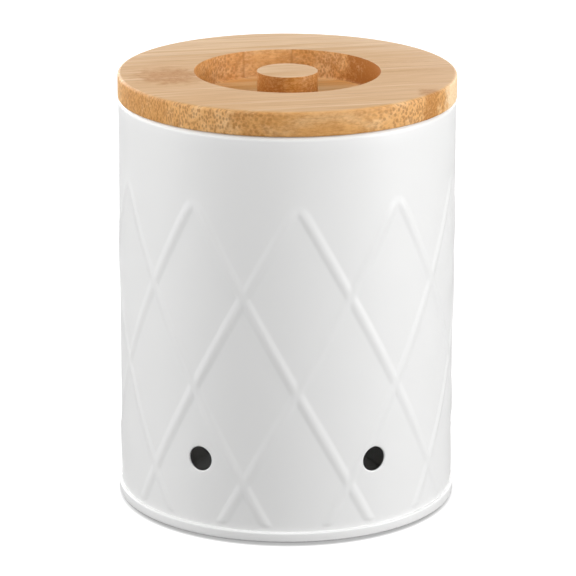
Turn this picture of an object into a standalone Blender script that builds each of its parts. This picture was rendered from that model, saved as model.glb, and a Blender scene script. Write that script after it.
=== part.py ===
"""Vegetable storage canister, in metres with +Z up.

A can of embossed sheet steel with its base folded on, closed by a bamboo lid that has a
finger recess, a knob and a silicone seal. The origin is the middle of the resting face.
"""

import math

import bmesh
import bpy
from mathutils import Matrix

MM = 0.001

# Driving dimensions of the whole canister
TOTAL_HEIGHT = 219.4 * MM
BODY_DIAMETER = 168.4 * MM
LID_OVERHANG = 0.8 * MM
LID_BOARD_THICKNESS = 12.7 * MM
SHEET = 0.5 * MM
FIT_GAP = 0.3 * MM

# Embossed lattice: straight beads that cross in columns round the wall
LATTICE_COLUMNS = 10
LATTICE_FRONT_ANGLE = math.radians(4.1)
LATTICE_DROP = 32.0 * MM
LATTICE_ROW_PITCH = 48.2 * MM
LATTICE_OVER_RIM = 1.2 * MM
BEAD_WIDTH = 6.6 * MM
BEAD_HEIGHT = 0.8 * MM
BEAD_TAPER = 4.5 * MM

# Side seam at the back, where the two ends of the sheet are locked together
SEAM_WIDTH = 5.0 * MM
SEAM_PLAIN_WIDTH = 12.0 * MM
SEAM_LAYERS = 3

# Air holes, in a row that is centred on the front and leaves its odd gap at the side seam
HOLE_COUNT = 6
HOLE_ROW_ANGLE = math.radians(0.4)
HOLE_PITCH_ANGLE = math.radians(61.1)
HOLE_HEIGHT = 39.5 * MM
HOLE_DIAMETER = 12.0 * MM

# Mouth, curled inwards
CURL_RADIUS = 2.0 * MM
CURL_TURN = math.radians(270)

# Folded seam at the foot, and the base
RIM_PROUD = 2.0 * MM
RIM_HEIGHT = 5.4 * MM
RIM_ROUND = 0.9 * MM
HOOK_SPACE = 0.7 * MM
BASE_SET_UP = 3.2 * MM
BASE_BEND = 0.6 * MM
BASE_STEP_INSET = 30.9 * MM
BASE_STEP_WIDTH = 3.0 * MM
BASE_STEP_HEIGHT = 0.9 * MM
BASE_RING_INSET = 9.9 * MM
BASE_RING_WIDTH = 6.0 * MM
BASE_RING_HEIGHT = 0.9 * MM

# Lid board
LID_TOP_ROUND = 1.8 * MM
LID_UNDER_ROUND = 1.0 * MM
PLUG_DEPTH = 9.0 * MM
PLUG_GAP = 1.2 * MM
RECESS_DIAMETER = 93.5 * MM
RECESS_DEPTH = 14.4 * MM
RECESS_FLOOR_ROUND = 1.5 * MM
RECESS_EDGE_ROUND = 0.5 * MM

# Knob and its screw
KNOB_DIAMETER = 30.5 * MM
KNOB_EDGE_ROUND = 0.6 * MM
SCREW_SHANK_DIAMETER = 4.0 * MM
SCREW_HEAD_DIAMETER = 8.0 * MM
SCREW_COVER = 3.1 * MM
SCREW_TIP = 3.0 * MM

# Silicone seal ring
SEAL_HEIGHT = 5.2 * MM
SEAL_DROP = 0.9 * MM
SEAL_THICKNESS = 2.0 * MM
FIN_COUNT = 2
FIN_THICKNESS = 1.2 * MM

# How finely the round forms are divided
STEPS_BETWEEN_BEADS = 3
TURNED_SEGMENTS = 48
SMALL_SEGMENTS = 24
FILLET_STEPS = 2
CURL_STEPS = 6

# Working allowances
CUT_OVERRUN = 2.0 * MM
WELD = 0.002 * MM
SMOOTH_ANGLE = math.radians(32)

# Sizes that follow from the ones above
body_radius = BODY_DIAMETER / 2
shell_inner_radius = body_radius - SHEET
mouth_radius = body_radius - 2 * CURL_RADIUS
lid_seat = TOTAL_HEIGHT - LID_BOARD_THICKNESS
shell_top = lid_seat - FIT_GAP
lattice_top = shell_top - LATTICE_DROP
lattice_bottom = RIM_HEIGHT + LATTICE_OVER_RIM
half_column = math.pi * body_radius / LATTICE_COLUMNS
bead_run = math.hypot(half_column, LATTICE_ROW_PITCH)
bead_pitch = 2 * half_column * LATTICE_ROW_PITCH / bead_run
sheet_half_length = math.pi * body_radius
plug_radius = mouth_radius - PLUG_GAP
recess_floor = LID_BOARD_THICKNESS - RECESS_DEPTH
pilot_top = LID_BOARD_THICKNESS - SCREW_COVER
screw_head_height = (SCREW_HEAD_DIAMETER - SCREW_SHANK_DIAMETER) / 2


def clear_scene():
    """Start from an empty scene."""
    for thing in list(bpy.data.objects):
        bpy.data.objects.remove(thing, do_unlink=True)


def make_material(name, colour, roughness, metallic=0.0):
    """Return a Principled material of one plain finish."""
    material = bpy.data.materials.new(name)
    material.use_nodes = True
    shader = material.node_tree.nodes["Principled BSDF"]
    shader.inputs["Base Color"].default_value = (*colour, 1.0)
    shader.inputs["Roughness"].default_value = roughness
    shader.inputs["Metallic"].default_value = metallic
    material.diffuse_color = (*colour, 1.0)
    return material


def add_object(name, bm, material, parent=None):
    """Turn a bmesh into a smooth shaded object, placed at its parent's origin."""
    for face in bm.faces:
        face.smooth = True
    for edge in bm.edges:
        if edge.calc_face_angle(0) > SMOOTH_ANGLE:
            edge.smooth = False
    mesh = bpy.data.meshes.new(name)
    bm.to_mesh(mesh)
    bm.free()
    mesh.materials.append(material)
    thing = bpy.data.objects.new(name, mesh)
    bpy.context.collection.objects.link(thing)
    thing.parent = parent
    return thing


def around(radius, angle, height):
    """Return the point at an angle from the front, turning towards +X."""
    return (radius * math.sin(angle), -radius * math.cos(angle), height)


def rounded(corners):
    """Return the (r, z) points of an outline given as corners (r, z, fillet radius)."""
    points = []
    count = len(corners)
    for index, (r, z, fillet) in enumerate(corners):
        if fillet == 0:
            points.append((r, z))
            continue
        before = corners[index - 1]
        after = corners[(index + 1) % count]
        angle_in = math.atan2(before[1] - z, before[0] - r)
        angle_out = math.atan2(after[1] - z, after[0] - r)
        opening = math.remainder(angle_out - angle_in, math.tau)
        middle = angle_in + opening / 2
        reach = fillet / abs(math.sin(opening / 2))
        centre_r = r + reach * math.cos(middle)
        centre_z = z + reach * math.sin(middle)
        sweep = math.copysign(math.pi - abs(opening), opening)
        for step in range(FILLET_STEPS + 1):
            turn = sweep * (0.5 - step / FILLET_STEPS)
            heading = middle + math.pi + turn
            points.append((centre_r + fillet * math.cos(heading),
                           centre_z + fillet * math.sin(heading)))
    return points


def turned_mesh(points, closed, segments):
    """Turn a line of (r, z) points once round the axis."""
    bm = bmesh.new()
    verts = [bm.verts.new((r, 0, z)) for r, z in points]
    edges = [bm.edges.new(pair) for pair in zip(verts, verts[1:])]
    if closed:
        edges.append(bm.edges.new((verts[-1], verts[0])))
    bmesh.ops.spin(bm, geom=verts + edges, cent=(0, 0, 0), axis=(0, 0, 1),
                   angle=math.tau, steps=segments, use_merge=True)
    bmesh.ops.remove_doubles(bm, verts=bm.verts, dist=WELD)
    return bm


def turned_solid(name, points, material, closed=True, segments=TURNED_SEGMENTS, parent=None):
    """Make a solid by turning an outline, whose ends lie on the axis if it isn't closed."""
    bm = turned_mesh(points, closed, segments)
    bmesh.ops.recalc_face_normals(bm, faces=bm.faces)
    return add_object(name, bm, material, parent)


def thicken_sheet(thing):
    """Give a surface the sheet's thickness, measured inwards from its outer face."""
    solidify = thing.modifiers.new("sheet", "SOLIDIFY")
    solidify.thickness = SHEET
    solidify.offset = -1
    solidify.use_even_offset = True


def cut_across(bm, faces, point, normal):
    """Divide the faces where a plane crosses them, and return all pieces of them."""
    edges = {edge for face in faces for edge in face.edges}
    verts = {vert for face in faces for vert in face.verts}
    cut = bmesh.ops.bisect_plane(bm, geom=list(verts) + list(edges) + list(faces),
                                 plane_co=point, plane_no=normal, dist=WELD)
    return [part for part in cut["geom"] if isinstance(part, bmesh.types.BMFace)]


def lattice_lift(along, height):
    """Return how far the wall stands out at a place on the flat sheet."""
    lift = 0
    for lean in (-1, 1):
        across = along * LATTICE_ROW_PITCH + lean * (height - lattice_top) * half_column
        off_line = abs(math.remainder(across / bead_run, bead_pitch))
        lift = max(lift, BEAD_HEIGHT * (1 - off_line / (BEAD_WIDTH / 2)))
    if height > lattice_top - WELD:
        return 0
    to_seam = sheet_half_length - abs(along) - SEAM_PLAIN_WIDTH / 2
    to_end = min(height - lattice_bottom, to_seam)
    return lift * min(1, max(0, to_end / BEAD_TAPER))


def flat_sheet():
    """Make the flat sheet, front at x = 0, divided along its beads and evenly between them.

    The top edge runs through a row of crossings, so each pair of beads ends there in a point.
    """
    bm = bmesh.new()
    corners = [(side * sheet_half_length, 0, height)
               for side, height in ((-1, lattice_bottom), (1, lattice_bottom),
                                    (1, lattice_top), (-1, lattice_top))]
    faces = [bm.faces.new([bm.verts.new(corner) for corner in corners])]
    plain_edge = sheet_half_length - SEAM_PLAIN_WIDTH / 2
    for side in (-1, 1):
        for edge in (plain_edge, plain_edge - BEAD_TAPER):
            faces = cut_across(bm, faces, (side * edge, 0, 0), (1, 0, 0))
    faces = cut_across(bm, faces, (0, 0, lattice_bottom + BEAD_TAPER), (0, 0, 1))
    step = (bead_pitch - BEAD_WIDTH) / STEPS_BETWEEN_BEADS
    offsets = [0] + [BEAD_WIDTH / 2 + step * index for index in range(STEPS_BETWEEN_BEADS + 1)]
    rows = math.ceil((lattice_top - lattice_bottom) / LATTICE_ROW_PITCH)
    reach = LATTICE_COLUMNS // 2 + rows
    for lean in (-1, 1):
        normal = (LATTICE_ROW_PITCH / bead_run, 0, lean * half_column / bead_run)
        for column in range(-reach, reach):
            for offset in offsets:
                point = (2 * half_column * column + offset * normal[0], 0,
                         lattice_top + offset * normal[2])
                faces = cut_across(bm, faces, point, normal)
    return bm


def mark_bead_feet(bm):
    """Keep the shading crisp along the line where each bead leaves the plain wall."""
    raised = {vert for vert in bm.verts if lattice_lift(vert.co.x, vert.co.z) > WELD}
    for edge in bm.edges:
        sides = {any(vert in raised for vert in face.verts) for face in edge.link_faces}
        if len(sides) == 2 and not raised.intersection(edge.verts):
            edge.smooth = False


def roll_sheet(bm):
    """Raise the beads on the flat sheet and roll it to a closed wall."""
    mark_bead_feet(bm)
    for vert in bm.verts:
        along, _, height = vert.co
        radius = body_radius + lattice_lift(along, height)
        vert.co = around(radius, along / body_radius + LATTICE_FRONT_ANGLE, height)
    bmesh.ops.remove_doubles(bm, verts=bm.verts, dist=WELD)


def carry_on(bm, start_height, path):
    """Extend the wall from its edge at one height along a path of (r, z) points."""
    edges = [edge for edge in bm.edges
             if edge.is_boundary and all(abs(vert.co.z - start_height) < WELD for vert in edge.verts)]
    for radius, height in path:
        new = bmesh.ops.extrude_edge_only(bm, edges=edges)["geom"]
        edges = [part for part in new if isinstance(part, bmesh.types.BMEdge)]
        ring = {vert for edge in edges for vert in edge.verts}
        ring = sorted(ring, key=lambda vert: math.atan2(vert.co.x, -vert.co.y))
        start = math.atan2(ring[0].co.x, -ring[0].co.y)
        for index, vert in enumerate(ring):
            vert.co = around(radius, start + math.tau * index / len(ring), height)


def seam_bar():
    """Make the locked seam's inner layers as a bar that sinks into the middle of the sheet."""
    inner = shell_inner_radius - (SEAM_LAYERS - 1) * SHEET
    outer = body_radius - SHEET / 2
    low = RIM_HEIGHT + FIT_GAP
    high = shell_top - 2 * CURL_RADIUS - FIT_GAP
    bm = bmesh.new()
    place = Matrix.Translation((0, -(outer + inner) / 2, (high + low) / 2))
    size = Matrix.Diagonal((SEAM_WIDTH, outer - inner, high - low, 1))
    bmesh.ops.create_cube(bm, size=1, matrix=place @ size)
    return bm


def add_tool(name, bm, angle, material):
    """Make a helper solid for a Boolean, turned to an angle from the front."""
    tool = add_object(name, bm, material)
    tool.rotation_euler.z = angle
    tool.hide_render = True
    tool.display_type = "WIRE"
    return tool


def hole_punch():
    """Make one round punch that passes through the wall at the front."""
    bm = bmesh.new()
    place = Matrix.Translation((0, -body_radius, HOLE_HEIGHT))
    lie_down = Matrix.Rotation(math.pi / 2, 4, "X")
    half_facet = Matrix.Rotation(math.pi / SMALL_SEGMENTS, 4, "Z")
    bmesh.ops.create_cone(bm, cap_ends=True, segments=SMALL_SEGMENTS, radius1=HOLE_DIAMETER / 2,
                          radius2=HOLE_DIAMETER / 2, depth=2 * (BEAD_HEIGHT + SHEET + CUT_OVERRUN),
                          matrix=place @ lie_down @ half_facet)
    return bm


def combine(thing, tool, operation):
    """Join a tool to an object, or cut it from the object."""
    boolean = thing.modifiers.new(tool.name, "BOOLEAN")
    boolean.operation = operation
    boolean.object = tool


def build_body_shell(material):
    """Make the embossed wall with its curled mouth, foot flange, side seam and air holes."""
    bm = flat_sheet()
    roll_sheet(bm)
    curl_r = body_radius - CURL_RADIUS
    curl_z = shell_top - CURL_RADIUS
    curl = [(curl_r + CURL_RADIUS * math.cos(CURL_TURN * step / CURL_STEPS),
             curl_z + CURL_RADIUS * math.sin(CURL_TURN * step / CURL_STEPS))
            for step in range(CURL_STEPS + 1)]
    carry_on(bm, lattice_top, curl)
    flange_top = 2 * SHEET + FIT_GAP
    hook_top = RIM_HEIGHT - SHEET - FIT_GAP
    carry_on(bm, lattice_bottom, [(body_radius, flange_top),
                                  (body_radius + HOOK_SPACE, flange_top),
                                  (body_radius + HOOK_SPACE, hook_top)])
    shell = add_object("body_shell", bm, material)
    thicken_sheet(shell)
    seam_angle = math.pi + LATTICE_FRONT_ANGLE
    combine(shell, add_tool("side_seam_bar", seam_bar(), seam_angle, material), "UNION")
    for index in range(HOLE_COUNT):
        angle = HOLE_ROW_ANGLE + HOLE_PITCH_ANGLE * (index - (HOLE_COUNT - 1) / 2)
        punch = add_tool(f"air_hole_punch_{index + 1}", hole_punch(), angle, material)
        combine(shell, punch, "DIFFERENCE")
    return shell


def build_base_panel(material):
    """Make the pressed base, whose edge is folded up round the shell's hook."""
    wall = shell_inner_radius - FIT_GAP - SHEET
    step_r = wall - BASE_STEP_INSET
    ring_r = wall - BASE_RING_INSET
    ring_half = BASE_RING_WIDTH / 2
    rim_r = body_radius + RIM_PROUD
    path = rounded([
        (0, BASE_SET_UP + BASE_STEP_HEIGHT, 0),
        (step_r - BASE_STEP_WIDTH, BASE_SET_UP + BASE_STEP_HEIGHT, 0),
        (step_r, BASE_SET_UP, 0),
        (ring_r - ring_half, BASE_SET_UP, 0),
        (ring_r, BASE_SET_UP + BASE_RING_HEIGHT, 0),
        (ring_r + ring_half, BASE_SET_UP, 0),
        (wall, BASE_SET_UP, BASE_BEND),
        (wall, 0, BASE_BEND),
        (rim_r, 0, RIM_ROUND),
        (rim_r, RIM_HEIGHT, RIM_ROUND),
        (body_radius + FIT_GAP, RIM_HEIGHT, 0),
    ])
    bm = turned_mesh(path, closed=False, segments=TURNED_SEGMENTS)
    bmesh.ops.reverse_faces(bm, faces=bm.faces)
    base = add_object("base_panel", bm, material)
    thicken_sheet(base)
    return base


def build_lid_board(material, parent):
    """Make the bamboo board with its recess, plug, seal groove and screw hole."""
    lid_r = body_radius + LID_OVERHANG
    recess_r = RECESS_DIAMETER / 2
    shank_hole = SCREW_SHANK_DIAMETER / 2 + FIT_GAP
    head_hole = SCREW_HEAD_DIAMETER / 2 + FIT_GAP
    groove_r = plug_radius - SEAL_THICKNESS - FIT_GAP
    groove_top = FIT_GAP - SEAL_DROP
    groove_bottom = groove_top - SEAL_HEIGHT - 2 * FIT_GAP
    outline = rounded([
        (shank_hole, recess_floor, 0),
        (recess_r, recess_floor, RECESS_FLOOR_ROUND),
        (recess_r, LID_BOARD_THICKNESS, RECESS_EDGE_ROUND),
        (lid_r, LID_BOARD_THICKNESS, LID_TOP_ROUND),
        (lid_r, 0, LID_UNDER_ROUND),
        (plug_radius, 0, 0),
        (plug_radius, groove_top, 0),
        (groove_r, groove_top, 0),
        (groove_r, groove_bottom, 0),
        (plug_radius, groove_bottom, 0),
        (plug_radius, -PLUG_DEPTH, LID_UNDER_ROUND),
        (head_hole, -PLUG_DEPTH, 0),
        (shank_hole, screw_head_height - PLUG_DEPTH, 0),
    ])
    return turned_solid("lid_board", outline, material, parent=parent)


def build_knob(material, parent):
    """Make the knob, flush with the board's top, with a blind pilot hole for its screw."""
    knob_r = KNOB_DIAMETER / 2
    pilot_r = SCREW_SHANK_DIAMETER / 2 + FIT_GAP
    foot = recess_floor + FIT_GAP
    outline = rounded([
        (0, pilot_top, 0),
        (pilot_r, pilot_top - SCREW_TIP, 0),
        (pilot_r, foot, 0),
        (knob_r, foot, 0),
        (knob_r, LID_BOARD_THICKNESS, KNOB_EDGE_ROUND),
        (0, LID_BOARD_THICKNESS, 0),
    ])
    return turned_solid("knob", outline, material, closed=False, segments=SMALL_SEGMENTS, parent=parent)


def build_knob_screw(material, parent):
    """Make the countersunk screw that holds the knob from below."""
    shank_r = SCREW_SHANK_DIAMETER / 2
    head_face = FIT_GAP - PLUG_DEPTH
    tip = pilot_top - FIT_GAP
    outline = [
        (0, head_face),
        (SCREW_HEAD_DIAMETER / 2, head_face),
        (shank_r, head_face + screw_head_height),
        (shank_r, tip - SCREW_TIP),
        (0, tip),
    ]
    return turned_solid("knob_screw", outline, material, closed=False, segments=SMALL_SEGMENTS,
                        parent=parent)


def build_seal_ring(material, parent):
    """Make the silicone ring, with soft fins that reach towards the mouth."""
    inner = plug_radius - SEAL_THICKNESS
    tip = mouth_radius - FIT_GAP
    top = -SEAL_DROP
    bottom = top - SEAL_HEIGHT
    outline = [(inner, bottom), (plug_radius, bottom)]
    fin_pitch = SEAL_HEIGHT / FIN_COUNT
    for index in range(FIN_COUNT):
        middle = bottom + fin_pitch * (index + 0.5)
        outline += [(plug_radius, middle - FIN_THICKNESS / 2), (tip, middle),
                    (plug_radius, middle + FIN_THICKNESS / 2)]
    outline += [(plug_radius, top), (inner, top)]
    return turned_solid("seal_ring", outline, material, parent=parent)


def main():
    clear_scene()
    coated_steel = make_material("coated_steel_white", (0.80, 0.80, 0.79), 0.38)
    bamboo = make_material("bamboo", (0.70, 0.45, 0.22), 0.55)
    silicone = make_material("silicone_clear_white", (0.78, 0.78, 0.76), 0.5)
    zinc_steel = make_material("zinc_steel", (0.55, 0.55, 0.56), 0.35, 1.0)

    build_body_shell(coated_steel)
    build_base_panel(coated_steel)

    lid_axis = bpy.data.objects.new("lid_axis", None)
    lid_axis.location.z = lid_seat
    bpy.context.collection.objects.link(lid_axis)
    build_lid_board(bamboo, lid_axis)
    build_knob(bamboo, lid_axis)
    build_knob_screw(zinc_steel, lid_axis)
    build_seal_ring(silicone, lid_axis)


main()
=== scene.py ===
import math
from collections import Counter

import bpy
from mathutils import Matrix, Vector


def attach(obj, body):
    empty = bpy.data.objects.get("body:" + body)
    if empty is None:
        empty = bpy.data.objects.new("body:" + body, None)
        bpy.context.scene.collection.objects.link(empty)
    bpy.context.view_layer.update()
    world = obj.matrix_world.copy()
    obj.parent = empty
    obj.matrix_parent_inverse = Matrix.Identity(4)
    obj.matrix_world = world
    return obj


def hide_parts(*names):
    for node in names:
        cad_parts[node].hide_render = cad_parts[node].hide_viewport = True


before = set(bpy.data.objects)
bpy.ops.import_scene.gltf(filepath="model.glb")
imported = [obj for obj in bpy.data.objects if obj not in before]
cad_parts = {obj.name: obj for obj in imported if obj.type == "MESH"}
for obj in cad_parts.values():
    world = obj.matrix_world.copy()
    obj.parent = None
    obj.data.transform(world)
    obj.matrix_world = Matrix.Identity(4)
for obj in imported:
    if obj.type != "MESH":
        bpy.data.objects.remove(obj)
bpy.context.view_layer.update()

mm = 0.001
weld = 0.004 * mm        # merge distance
nearLine = 0.1 * mm      # how close to its line a border's vertex lies


# Small helpers for modelling

def selectNone():
    if bpy.context.mode != "OBJECT":
        bpy.ops.object.mode_set(mode="OBJECT")
    bpy.ops.object.select_all(action="DESELECT")


def useOnly(piece):
    selectNone()
    piece.select_set(True)
    bpy.context.view_layer.objects.active = piece


def nameNew(name):
    piece = bpy.context.object
    piece.name = name
    piece.data.name = name
    return piece


def pick(piece, kind, test):
    # selects the vertices, edges or faces that pass the test, and stays in edit mode
    bpy.ops.object.mode_set(mode="OBJECT")
    mesh = piece.data
    for parts in (mesh.vertices, mesh.edges, mesh.polygons):
        parts.foreach_set("select", [False] * len(parts))
    chosen = {"VERT": mesh.vertices, "EDGE": mesh.edges, "FACE": mesh.polygons}[kind]
    for part in chosen:
        part.select = test(part)
    bpy.ops.object.mode_set(mode="EDIT")
    bpy.ops.mesh.select_mode(type=kind)


def borderTest(piece, pointTest):
    # passes the edges of only one face whose two ends pass the test
    bpy.ops.object.mode_set(mode="OBJECT")
    mesh = piece.data
    uses = Counter(key for face in mesh.polygons for key in face.edge_keys)
    return lambda edge: uses[edge.key] == 1 and all(
        pointTest(mesh.vertices[index].co) for index in edge.vertices)


def moveSelected(x=0.0, y=0.0, z=0.0):
    bpy.ops.transform.translate(value=(x, y, z))


def growSelected(x, y, z, centre=(0, 0, 0)):
    bpy.ops.transform.resize(value=(x, y, z), center_override=centre)


def cutAcross(point, normal, **clear):
    bpy.ops.mesh.select_all(action="SELECT")
    bpy.ops.mesh.bisect(plane_co=point, plane_no=normal, threshold=weld / 4, **clear)


def mergeDoubles():
    bpy.ops.mesh.select_all(action="SELECT")
    bpy.ops.mesh.remove_doubles(threshold=weld)


def faceOutwards():
    bpy.ops.mesh.select_all(action="SELECT")
    bpy.ops.mesh.normals_make_consistent(inside=False)


def extrudeRings(start, rings):
    # carries a selected ring of edges on from one (r, z) to the next
    oldR, oldZ = start
    for r, z in rings:
        bpy.ops.mesh.extrude_region_move(TRANSFORM_OT_translate={"value": (0, 0, z - oldZ)})
        growSelected(r / oldR, r / oldR, 1)
        oldR, oldZ = r, z


def flipIfInwards(piece, face, axis):
    # turns an open sheet round if its outermost face looks inwards
    if face.normal[axis] * face.center[axis] < 0:
        bpy.ops.object.mode_set(mode="EDIT")
        bpy.ops.mesh.select_all(action="SELECT")
        bpy.ops.mesh.flip_normals()
        bpy.ops.object.mode_set(mode="OBJECT")


def applyModifier(piece, kind, name, **settings):
    useOnly(piece)
    modifier = piece.modifiers.new(name, kind)
    for key, value in settings.items():
        setattr(modifier, key, value)
    bpy.ops.object.modifier_apply(modifier=name)


def smoothBy(piece, degrees):
    useOnly(piece)
    bpy.ops.object.shade_smooth_by_angle(angle=math.radians(degrees))


def softCorners(corners, steps):
    # corners are (r, z, fillet radius); returns the (r, z) points of the line with its fillets
    points = []
    for index, (r, z, fillet) in enumerate(corners):
        if fillet == 0:
            points.append((r, z))
            continue
        here = Vector((r, z))
        before = (Vector(corners[index - 1][:2]) - here).normalized()
        after = (Vector(corners[(index + 1) % len(corners)][:2]) - here).normalized()
        half = before.angle(after) / 2
        centre = here + (before + after).normalized() * fillet / math.sin(half)
        first = here + before * fillet / math.tan(half) - centre
        last = here + after * fillet / math.tan(half) - centre
        turn = math.remainder(math.atan2(last.y, last.x) - math.atan2(first.y, first.x), math.tau)
        for step in range(steps + 1):
            arm = Matrix.Rotation(turn * step / steps, 2) @ first
            points.append(tuple(centre + arm))
    return points


def drawLine(name, points):
    # a plane merged to one vertex, then extruded from point to point in the XZ plane
    selectNone()
    bpy.ops.mesh.primitive_plane_add(size=mm)
    piece = nameNew(name)
    bpy.ops.object.mode_set(mode="EDIT")
    bpy.ops.mesh.select_mode(type="VERT")
    bpy.ops.mesh.merge(type="CENTER")
    moveSelected(x=points[0][0], z=points[0][1])
    for (oldR, oldZ), (r, z) in zip(points, points[1:]):
        bpy.ops.mesh.extrude_region_move(TRANSFORM_OT_translate={"value": (r - oldR, 0, z - oldZ)})
    return piece


def spinLine(name, points, segments, closed=True):
    piece = drawLine(name, points)
    if closed:
        last = len(points) - 1
        pick(piece, "VERT", lambda vert: vert.index in (0, last))
        bpy.ops.mesh.edge_face_add()
    bpy.ops.mesh.select_all(action="SELECT")
    bpy.ops.mesh.spin(steps=segments, angle=math.tau, center=(0, 0, 0), axis=(0, 0, 1))
    mergeDoubles()
    faceOutwards()
    bpy.ops.object.mode_set(mode="OBJECT")
    return piece


def finishPiece(piece, body, material, node):
    piece.data.materials.clear()
    piece.data.materials.append(material)
    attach(piece, body)
    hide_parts(node)


# Small helpers for node materials

def addNode(tree, kind, **settings):
    made = tree.nodes.new(kind)
    for key, value in settings.items():
        setattr(made, key, value)
    return made


def feed(tree, value, socket):
    if isinstance(value, bpy.types.NodeSocket):
        tree.links.new(value, socket)
    else:
        socket.default_value = value


def doMath(tree, operation, *values, clamp=False):
    made = addNode(tree, "ShaderNodeMath", operation=operation, use_clamp=clamp)
    for index, value in enumerate(values):
        feed(tree, value, made.inputs[index])
    return made.outputs[0]


def mapValue(tree, value, low, high, toLow=0.0, toHigh=1.0, smooth=True):
    made = addNode(tree, "ShaderNodeMapRange",
                   interpolation_type="SMOOTHSTEP" if smooth else "LINEAR")
    for index, number in enumerate((value, low, high, toLow, toHigh)):
        feed(tree, number, made.inputs[index])
    return made.outputs[0]


def mixColour(tree, factor, first, second):
    made = addNode(tree, "ShaderNodeMix", data_type="RGBA")
    feed(tree, factor, made.inputs[0])
    feed(tree, first, made.inputs[6])
    feed(tree, second, made.inputs[7])
    return made.outputs[2]


def stretched(tree, vector, scale):
    made = addNode(tree, "ShaderNodeMapping")
    feed(tree, vector, made.inputs["Vector"])
    feed(tree, scale, made.inputs["Scale"])
    return made.outputs[0]


def noise(tree, vector, scale, detail=2.0, roughness=0.5, distortion=0.0):
    made = addNode(tree, "ShaderNodeTexNoise")
    for label, value in (("Vector", vector), ("Scale", scale), ("Detail", detail),
                         ("Roughness", roughness), ("Distortion", distortion)):
        feed(tree, value, made.inputs[label])
    return made.outputs[0]


def newGroup(name, inputs, outputs):
    # returns the group's tree, what it is given and what it hands on
    tree = bpy.data.node_groups.new(name, "ShaderNodeTree")
    for label, kind, value in inputs:
        socket = tree.interface.new_socket(name=label, in_out="INPUT", socket_type=kind)
        if value is not None:
            socket.default_value = value
    for label in outputs:
        kind = "NodeSocketVector" if label == "Vector" else "NodeSocketFloat"
        tree.interface.new_socket(name=label, in_out="OUTPUT", socket_type=kind)
    given = tree.nodes.new("NodeGroupInput").outputs
    result = tree.nodes.new("NodeGroupOutput").inputs
    return tree, given, result


def useGroup(tree, group, values):
    made = addNode(tree, "ShaderNodeGroup", node_tree=group)
    for label, value in values.items():
        feed(tree, value, made.inputs[label])
    return made.outputs


def newMaterial(name):
    material = bpy.data.materials.new(name)
    material.use_nodes = True
    tree = material.node_tree
    shader = tree.nodes["Principled BSDF"]
    place = tree.nodes.new("ShaderNodeTexCoord").outputs["Object"]
    return material, tree, shader, place


def addBump(tree, shader, height, strength, distance):
    bump = addNode(tree, "ShaderNodeBump")
    bump.inputs["Strength"].default_value = strength
    bump.inputs["Distance"].default_value = distance
    feed(tree, height, bump.inputs["Height"])
    feed(tree, bump.outputs[0], shader.inputs["Normal"])


# Camera at the photograph's angle
cameraFacts = {
    "place": (0.65 * mm, -1672.0 * mm, 617.4 * mm),
    "pitchDown": math.radians(17.02),
    "roll": math.radians(0.186),
    "lens": 214.33,
    "sensor": 36.0,
    "clipEnd": 50.0,
}
bpy.ops.object.camera_add()
camera = bpy.context.object
camera.name = "photoCamera"
camera.matrix_world = (Matrix.Translation(cameraFacts["place"])
                       @ Matrix.Rotation(math.pi / 2 - cameraFacts["pitchDown"], 4, "X")
                       @ Matrix.Rotation(cameraFacts["roll"], 4, "Z"))
camera.data.lens = cameraFacts["lens"]
camera.data.sensor_width = cameraFacts["sensor"]
camera.data.clip_end = cameraFacts["clipEnd"]
bpy.context.scene.camera = camera
print("camera ready")


# Satin powder coating of the steel pieces
coating = {
    "colour": (0.84, 0.84, 0.835),
    "driftScale": 18.0,
    "toneDrift": 0.02,
    "peelScale": 900.0,
    "peelStrength": 0.25,
    "peelDepth": 0.02 * mm,
    "smearScale": 60.0,
    "roughness": (0.36, 0.44),
    "specular": 0.45,
}


def makeCoatingGroup():
    # faint orange peel, slow drift of tone and slightly uneven gloss
    tree, given, result = newGroup(
        "coatingSkin",
        [("Vector", "NodeSocketVector", None), ("Peel Scale", "NodeSocketFloat", coating["peelScale"]),
         ("Tone Drift", "NodeSocketFloat", coating["toneDrift"])],
        ["Color Factor", "Roughness Factor", "Height"])
    drift = doMath(tree, "SUBTRACT", noise(tree, given["Vector"], coating["driftScale"], detail=3.0), 0.5)
    feed(tree, doMath(tree, "MULTIPLY_ADD", drift, given["Tone Drift"], 1.0), result["Color Factor"])
    feed(tree, noise(tree, given["Vector"], given["Peel Scale"]), result["Height"])
    smear = noise(tree, given["Vector"], coating["smearScale"], detail=4.0)
    feed(tree, mapValue(tree, smear, 0.3, 0.7), result["Roughness Factor"])
    return tree


def makeCoatingMaterial(name, group):
    material, tree, shader, place = newMaterial(name)
    skin = useGroup(tree, group, {"Vector": place, "Peel Scale": coating["peelScale"],
                                  "Tone Drift": coating["toneDrift"]})
    tone = addNode(tree, "ShaderNodeVectorMath", operation="SCALE")
    tone.inputs[0].default_value = coating["colour"]
    feed(tree, skin["Color Factor"], tone.inputs["Scale"])
    feed(tree, tone.outputs[0], shader.inputs["Base Color"])
    feed(tree, mapValue(tree, skin["Roughness Factor"], 0, 1, *coating["roughness"], smooth=False),
         shader.inputs["Roughness"])
    shader.inputs["Specular IOR Level"].default_value = coating["specular"]
    addBump(tree, shader, skin["Height"], coating["peelStrength"], coating["peelDepth"])
    return material


whiteCoating = makeCoatingMaterial("whiteCoating", makeCoatingGroup())
print("coating ready")


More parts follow.
